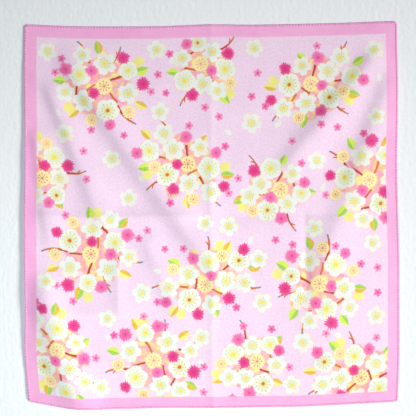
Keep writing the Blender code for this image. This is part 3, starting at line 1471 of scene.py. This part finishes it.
def grid_faces(rows: int, columns: int, close_rows: bool = False, close_columns: bool = False) -> Array:
    """The four-cornered faces of a grid whose points are numbered row by row.

    Each face goes from its first point to the next row's, then on to the next column. On a closed side, the
    last row or column joins the first.

    Args:
        rows: How many rows of points.
        columns: How many points in each row.
        close_rows: Whether the rows close into a ring.
        close_columns: Whether each row closes into a ring.

    Returns:
        An array of faces by 4.
    """
    row, column = np.meshgrid(
        np.arange(rows if close_rows else rows - 1),
        np.arange(columns if close_columns else columns - 1),
        indexing="ij",
    )
    below, right = (row + 1) % rows, (column + 1) % columns
    corners = ((row, column), (below, column), (below, right), (row, right))
    return np.stack([(r * columns + c).ravel() for r, c in corners], axis=1)


def make_piece(name: str, points: Array, faces: Array, corner_uv: Array) -> bpy.types.Object:
    """Makes a smooth mesh object at the origin.

    Args:
        name: The piece's name.
        points: Its points, in metres.
        faces: Its four-cornered faces.
        corner_uv: The place of each face's corners in its map, faces by 4 by 2.

    Returns:
        The object, in the scene.
    """
    mesh = bpy.data.meshes.new(name)
    mesh.vertices.add(len(points))
    mesh.vertices.foreach_set("co", points.astype(np.float32).ravel())
    mesh.loops.add(faces.size)
    mesh.loops.foreach_set("vertex_index", faces.astype(np.int32).ravel())
    mesh.polygons.add(len(faces))
    mesh.polygons.foreach_set("loop_start", np.arange(0, faces.size, 4, dtype=np.int32))
    mesh.update(calc_edges=True)
    layer = mesh.uv_layers.new(name=PLACE_MAP)
    layer.uv.foreach_set("vector", corner_uv.astype(np.float32).ravel())
    mesh.shade_smooth()
    mesh.validate()
    piece = bpy.data.objects.new(name, mesh)
    bpy.context.scene.collection.objects.link(piece)
    return piece


@dataclass
class Handkerchief:
    """The printed sheet: a fine grid on the hang, thickened to thin cotton, in millimetres."""

    hang: Hang
    layout: PrintLayout
    cotton: PrintedCotton
    columns: int = 204
    rows: int = 208
    inset: float = 0.5
    corner: float = 3.2
    thickness: float = 0.3

    def rounded(self, across: Array, down: Array) -> tuple[Array, Array]:
        """Draws the four corners in to arcs.

        In each corner's square, a point is moved towards the arc's centre by the ratio of the greater of its
        two distances from there to its straight distance.

        Args:
            across: Millimetres from the left edge.
            down: Millimetres from the top edge.

        Returns:
            The moved places.
        """
        reach = self.corner
        near_side = np.clip(1 - np.minimum(across, self.hang.width - across) / reach, 0, 1)
        near_end = np.clip(1 - np.minimum(down, self.hang.height - down) / reach, 0, 1)
        both = np.hypot(near_side, near_end)
        share = np.where(both > 0, np.maximum(near_side, near_end) / np.maximum(both, 1e-9), 1.0)
        to_right = np.where(across < self.hang.width / 2, 1, -1)
        to_bottom = np.where(down < self.hang.height / 2, 1, -1)
        across = across + to_right * near_side * reach * (1 - share)
        down = down + to_bottom * near_end * reach * (1 - share)
        return across, down

    def build(self) -> bpy.types.Object:
        """Builds and dresses the sheet.

        Each corner of a face carries, for each layer of the print, its place on the nearest motif.

        Returns:
            The sheet.
        """
        hang = self.hang
        across, down = np.meshgrid(
            np.linspace(self.inset, hang.width - self.inset, self.columns + 1),
            np.linspace(self.inset, hang.height - self.inset, self.rows + 1),
        )
        across, down = (grid.ravel() for grid in self.rounded(across, down))
        faces = grid_faces(self.rows + 1, self.columns + 1)
        corner_across, corner_down = across[faces], down[faces]
        corner_uv = np.stack((corner_across / hang.width, corner_down / hang.height), axis=-1)
        sheet = make_piece("printed_cloth", hang.place(across, down), faces, corner_uv)
        for layer in Layer:
            places = self.layout.places(layer, corner_across, corner_down)
            attribute = sheet.data.attributes.new(layer.attribute, "FLOAT_VECTOR", "CORNER")
            attribute.data.foreach_set("vector", places.astype(np.float32).ravel())
        sheet.data.materials.append(self.cotton.material("printed_cotton_face", is_back=False))
        sheet.data.materials.append(self.cotton.material("printed_cotton_back", is_back=True))
        thicken = sheet.modifiers.new("Cloth", "SOLIDIFY")
        thicken.thickness = self.thickness * MM
        thicken.offset = 0.0
        thicken.material_offset = 1
        thicken.material_offset_rim = 1
        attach(sheet, BODY)
        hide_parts(NODE)
        return sheet


@dataclass
class Overlock:
    """The edge finish: a narrow roll with thread wound over it, in millimetres."""

    hang: Hang
    roll_finish: SewingThread = EDGE_ROLL_COTTON
    thread_finish: SewingThread = EDGE_THREAD_PINK
    inset: float = 1.35
    corner: float = 3.0
    roll_wide: float = 1.28
    roll_high: float = 0.44
    roll_step: float = 2.0
    roll_sides: int = 12
    wound_wide: float = 1.42
    wound_high: float = 0.56
    thread_wide: float = 0.62
    thread_high: float = 0.26
    pitch: float = 3.6
    turn_steps: int = 20
    thread_sides: int = 8
    tangent_step: float = 0.4

    @cached_property
    def path(self) -> tuple[Array, Array, Array]:
        """The edge's middle line on the flat cloth, clockwise from the top left as seen from the front.

        It is a rectangle with arcs for corners: each corner's centre plus the radius times the cosine and
        sine of an angle that goes a quarter round.

        Returns:
            How far along each point lies, its place across, and its place down. The last closes the ring.
        """
        reach = self.corner
        left, right = self.inset + reach, self.hang.width - self.inset - reach
        top, bottom = self.inset + reach, self.hang.height - self.inset - reach
        quarter = np.linspace(0, math.pi / 2, CORNER_STEPS + 1)
        centres = (
            (left, top, math.pi),
            (right, top, -math.pi / 2),
            (right, bottom, 0.0),
            (left, bottom, math.pi / 2),
        )
        across = np.concatenate([x + reach * np.cos(start + quarter) for x, _, start in centres])
        down = np.concatenate([y + reach * np.sin(start + quarter) for _, y, start in centres])
        across, down = np.append(across, across[0]), np.append(down, down[0])
        along = np.concatenate(([0.0], np.cumsum(np.hypot(np.diff(across), np.diff(down)))))
        return along, across, down

    def frames(self, along: Array) -> tuple[Array, Array, Array]:
        """Where the edge runs in space, with its two cross directions.

        Args:
            along: Millimetres along the edge.

        Returns:
            The middle line's points in metres, the unit vectors outwards in the cloth's plane, and the unit
            vectors out of the printed side.
        """
        distance, path_across, path_down = self.path
        total = distance[-1]

        def point(at: Array) -> tuple[Array, Array]:
            """The place on the flat cloth at a distance along the edge."""
            return np.interp(at % total, distance, path_across), np.interp(at % total, distance, path_down)

        step = self.tangent_step
        middle = self.hang.place(*point(along))
        tangent = unit(self.hang.place(*point(along + step)) - self.hang.place(*point(along - step)))
        out = self.hang.outward(*point(along))
        return middle, unit(np.cross(tangent, out)), out

    def roll(self) -> bpy.types.Object:
        """The roll under the thread: flat ellipses carried along the edge, whose size swells in two waves.

        Returns:
            The roll.
        """
        total = self.path[0][-1]
        steps = int(total / self.roll_step)
        along = np.arange(steps) * total / steps
        around = np.arange(self.roll_sides) * TAU / self.roll_sides
        middle, aside, out = self.frames(along)
        swell = 1 + 0.05 * np.sin(along / 3.1) + 0.04 * np.sin(along / 1.7 + 1.0)
        ellipse = self.roll_wide * np.cos(around)[None, :, None] * aside[:, None]
        ellipse = ellipse + self.roll_high * np.sin(around)[None, :, None] * out[:, None]
        points = middle[:, None] + ellipse * swell[:, None, None] * MM
        return self.ring("edge_roll", points, along / self.pitch, self.roll_finish)

    def winding(self, along: Array) -> Array:
        """The angle of the thread round the edge, in radians.

        Each side has a whole number of turns from the middle of one corner to that of the next. The sides
        are sewn in turn one way and the other, so the angle grows along two of them and falls along two.

        Args:
            along: Millimetres along the edge.

        Returns:
            The angle at each place.
        """
        distance = self.path[0]
        corners = distance[CORNER_STEPS // 2 :: CORNER_STEPS + 1]
        ends = np.append(corners - corners[0], distance[-1])
        gone = (along - corners[0]) % distance[-1]
        side = np.searchsorted(ends, gone, "right") - 1
        length = np.diff(ends)[side]
        turns = np.rint(length / self.pitch) * np.where(side % 2, 1, -1)
        return TAU * turns * (gone - ends[side]) / length

    def thread(self) -> bpy.types.Object:
        """The thread over the roll: a helix round the edge, itself a flat tube, as strands make side by side.

        The helix is flat: the middle line, plus its half width times the cosine and its half height times
        the sine of its winding. The winding and the half width wander with sine waves that have whole
        numbers of periods round the cloth. The tube's ellipses stand square to the helix.

        Returns:
            The thread.
        """
        total = self.path[0][-1]
        turns = round(total / self.pitch)
        steps = turns * self.turn_steps
        along = np.arange(steps) * total / steps
        lap = TAU * along / total
        angle = self.winding(along) + 0.5 * np.sin(83 * lap) + 0.4 * np.sin(211 * lap + 1.0)
        middle, aside, out = self.frames(along)
        wide = self.wound_wide * (1 + 0.07 * np.sin(137 * lap))
        offset = (wide * np.cos(angle))[:, None] * aside + (self.wound_high * np.sin(angle))[:, None] * out
        helix = middle + offset * MM
        tangent = unit(np.roll(helix, -1, axis=0) - np.roll(helix, 1, axis=0))
        square = unit(np.cross(tangent, offset))
        spoke = np.cross(square, tangent)
        around = (np.arange(self.thread_sides) + 0.5) * TAU / self.thread_sides
        ellipse = self.thread_high * np.cos(around)[None, :, None] * spoke[:, None]
        ellipse = ellipse + self.thread_wide * np.sin(around)[None, :, None] * square[:, None]
        points = helix[:, None] + ellipse * MM
        return self.ring("edge_thread", points, along / self.pitch, self.thread_finish)

    def ring(self, name: str, points: Array, run: Array, finish: SewingThread) -> bpy.types.Object:
        """Makes a closed tube from its rings of points, and dresses it.

        Args:
            name: The piece's name.
            points: Rings by points by 3, in metres.
            run: The first map coordinate of each ring. The second is the place round the ring, 0 to 1.
            finish: Its finish.

        Returns:
            The tube.
        """
        rings, sides, _ = points.shape
        faces = grid_faces(rings, sides, close_rows=True, close_columns=True)[:, ::-1]
        ring, side = faces // sides, faces % sides
        closes_run = (ring == 0) & (ring.max(axis=1, keepdims=True) == rings - 1)
        closes_ring = (side == 0) & (side.max(axis=1, keepdims=True) == sides - 1)
        ring_run = np.where(closes_run, run[-1] + (run[1] - run[0]), run[ring])
        side_run = np.where(closes_ring, sides, side) / sides
        piece = make_piece(name, points.reshape(-1, 3), faces, np.stack((ring_run, side_run), axis=-1))
        piece.data.materials.append(finish.material())
        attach(piece, BODY)
        return piece

    def build(self) -> list[bpy.types.Object]:
        """Builds and dresses the roll and the thread over it."""
        return [self.roll(), self.thread()]


# The studio.


@dataclass(frozen=True)
class Spot:
    """A soft lamp whose beam fades towards its rim: its radius in metres and its beam's angle in degrees."""

    name: str
    place: tuple[float, float, float]
    target: tuple[float, float, float]
    radius: float
    beam: float
    power: float
    colour: tuple[float, float, float]

    def build(self) -> bpy.types.Object:
        """Makes the light and turns it to its target.

        Returns:
            The lamp, in the scene.
        """
        data = bpy.data.lights.new(self.name, "SPOT")
        data.shadow_soft_size = self.radius
        data.spot_size = math.radians(self.beam)
        data.spot_blend = 1.0
        data.energy = self.power
        data.color = self.colour
        lamp = bpy.data.objects.new(self.name, data)
        aim_at(lamp, self.place, self.target)
        bpy.context.scene.collection.objects.link(lamp)
        return lamp


def aim_at(thing: bpy.types.Object, place: tuple, target: tuple) -> None:
    """Puts a light or camera at a place, looking at a target with its top upwards."""
    thing.location = place
    thing.rotation_euler = (Vector(target) - Vector(place)).to_track_quat("-Z", "Y").to_euler()


@dataclass(frozen=True)
class Studio:
    """A pale plastered wall just behind the cloth, soft light from the right, and the camera, in metres.

    The fill lamp is cooler than the key. The back lamp stands behind the wall, and lights the cloth's back
    and, by its bounce, the wall next to it.
    """

    wall_gap: float = 0.0005
    half_width: float = 1.6
    wall_top: float = 1.0
    wall_foot: float = -1.6
    wall_colour: tuple[float, float, float, float] = (0.80, 0.82, 0.83, 1.0)
    plaster_grain: float = 0.0056
    plaster_relief: float = 0.00068
    stroke_stretch: float = 0.3
    clear_reach: float = 0.1
    middle: tuple[float, float, float] = (-0.0035, -0.006, -0.2358)
    camera_distance: float = 1.6286
    lens: float = 110.0
    world_strength: float = 0.24

    def wall(self) -> None:
        """Builds the wall with its rough plaster: noise, and finer noise drawn out along the brush strokes.

        From behind it can be seen through, it casts no shadow, and light that leaves the cloth's back and
        meets it within the clear reach goes on through it.
        """
        w, gap, top, foot = self.half_width, self.wall_gap, self.wall_top, self.wall_foot
        mesh = bpy.data.meshes.new("wall")
        corners = ((-w, gap, foot), (w, gap, foot), (w, gap, top), (-w, gap, top))
        mesh.from_pydata(corners, [], [(0, 1, 2, 3)])
        wall = bpy.data.objects.new("wall", mesh)
        g, shader = new_material("wall")
        shader.inputs["Base Color"].default_value = self.wall_colour
        shader.inputs["Roughness"].default_value = 0.9
        shader.inputs["Specular IOR Level"].default_value = 0.1
        place = g.node("ShaderNodeTexCoord", {}, "Object")
        upright = g.stretched(place, (1.0, 1.0, self.stroke_stretch))
        strokes = g.noise(upright, self.plaster_grain * 0.8, 1.0)
        grain = g.noise(place, self.plaster_grain, 2.0) + strokes * 0.5
        bump = {"Strength": 1.0, "Distance": self.plaster_relief, "Height": grain}
        g.feed(shader.inputs["Normal"], g.node("ShaderNodeBump", bump))
        behind = g.node("ShaderNodeNewGeometry", {}, "Backfacing")
        near = g.math("LESS_THAN", g.node("ShaderNodeLightPath", {}, "Ray Length"), self.clear_reach)
        unseen = g.greater(g.greater(behind, near), g.node("ShaderNodeLightPath", {}, "Is Shadow Ray"))
        clear = g.node("ShaderNodeBsdfTransparent", {})
        plain = Signal(g, shader.outputs[0])
        shown = g.node("ShaderNodeMixShader", {0: unseen, 1: plain, 2: clear})
        g.feed(g.tree.nodes["Material Output"].inputs["Surface"], shown)
        mesh.materials.append(bpy.data.materials["wall"])
        bpy.context.scene.collection.objects.link(wall)

    def build(self) -> None:
        """Builds the backdrop, the lights and the camera."""
        self.wall()
        lamps = (
            Spot("key", (2.70, -1.75, -1.00), (0.46, 0.0, -0.51), 1.00, 36.0, 1075.0, (1.0, 0.985, 0.97)),
            Spot("fill", (-0.50, -1.60, -0.56), (-0.13, 0.0, -0.46), 0.45, 44.0, 58.0, (0.80, 0.95, 1.0)),
            Spot("back", (0.30, 1.70, 0.10), (0.0, 0.0, -0.24), 0.40, 46.0, 130.0, (1.0, 0.99, 0.98)),
        )
        for lamp in lamps:
            lamp.build()
        scene = bpy.context.scene
        scene.world = bpy.data.worlds.new("soft_daylight")
        scene.world.use_nodes = True
        sky = scene.world.node_tree.nodes["Background"]
        sky.inputs["Color"].default_value = (0.95, 0.97, 1.0, 1.0)
        sky.inputs["Strength"].default_value = self.world_strength
        scene.view_settings.view_transform = "Standard"
        data = bpy.data.cameras.new("camera")
        data.lens = self.lens
        data.sensor_width = 36.0
        camera = bpy.data.objects.new("camera", data)
        x, y, z = self.middle
        aim_at(camera, (x, y - self.camera_distance, z), self.middle)
        scene.collection.objects.link(camera)
        scene.camera = camera


def report(pieces: list[bpy.types.Object]) -> None:
    """Logs each piece with its faces and size.

    Args:
        pieces: The pieces.
    """
    for piece in pieces:
        size = ", ".join(f"{side * 1000:.1f}" for side in piece.dimensions)
        LOG.info("%s: %d faces, %s mm", piece.name, len(piece.data.polygons), size)


def main() -> None:
    """Builds the studio, the cloth and its edge, and reports each piece."""
    logging.basicConfig(level=logging.INFO, format="%(message)s")
    hang = Hang()
    layout = PrintLayout()
    for layer in Layer:
        for first, second, lack in layout.crowded(layer):
            LOG.warning("%s: %.1f mm too near at %s and %s", layer.name, lack, first[1:3], second[1:3])
    Studio().build()
    cloth = Handkerchief(hang, layout, PrintedCotton(FlowerPrint(hang.width, hang.height))).build()
    edge = Overlock(hang).build()
    bpy.context.view_layer.update()
    report([cloth, *edge])


if __name__ == "__main__":
    main()
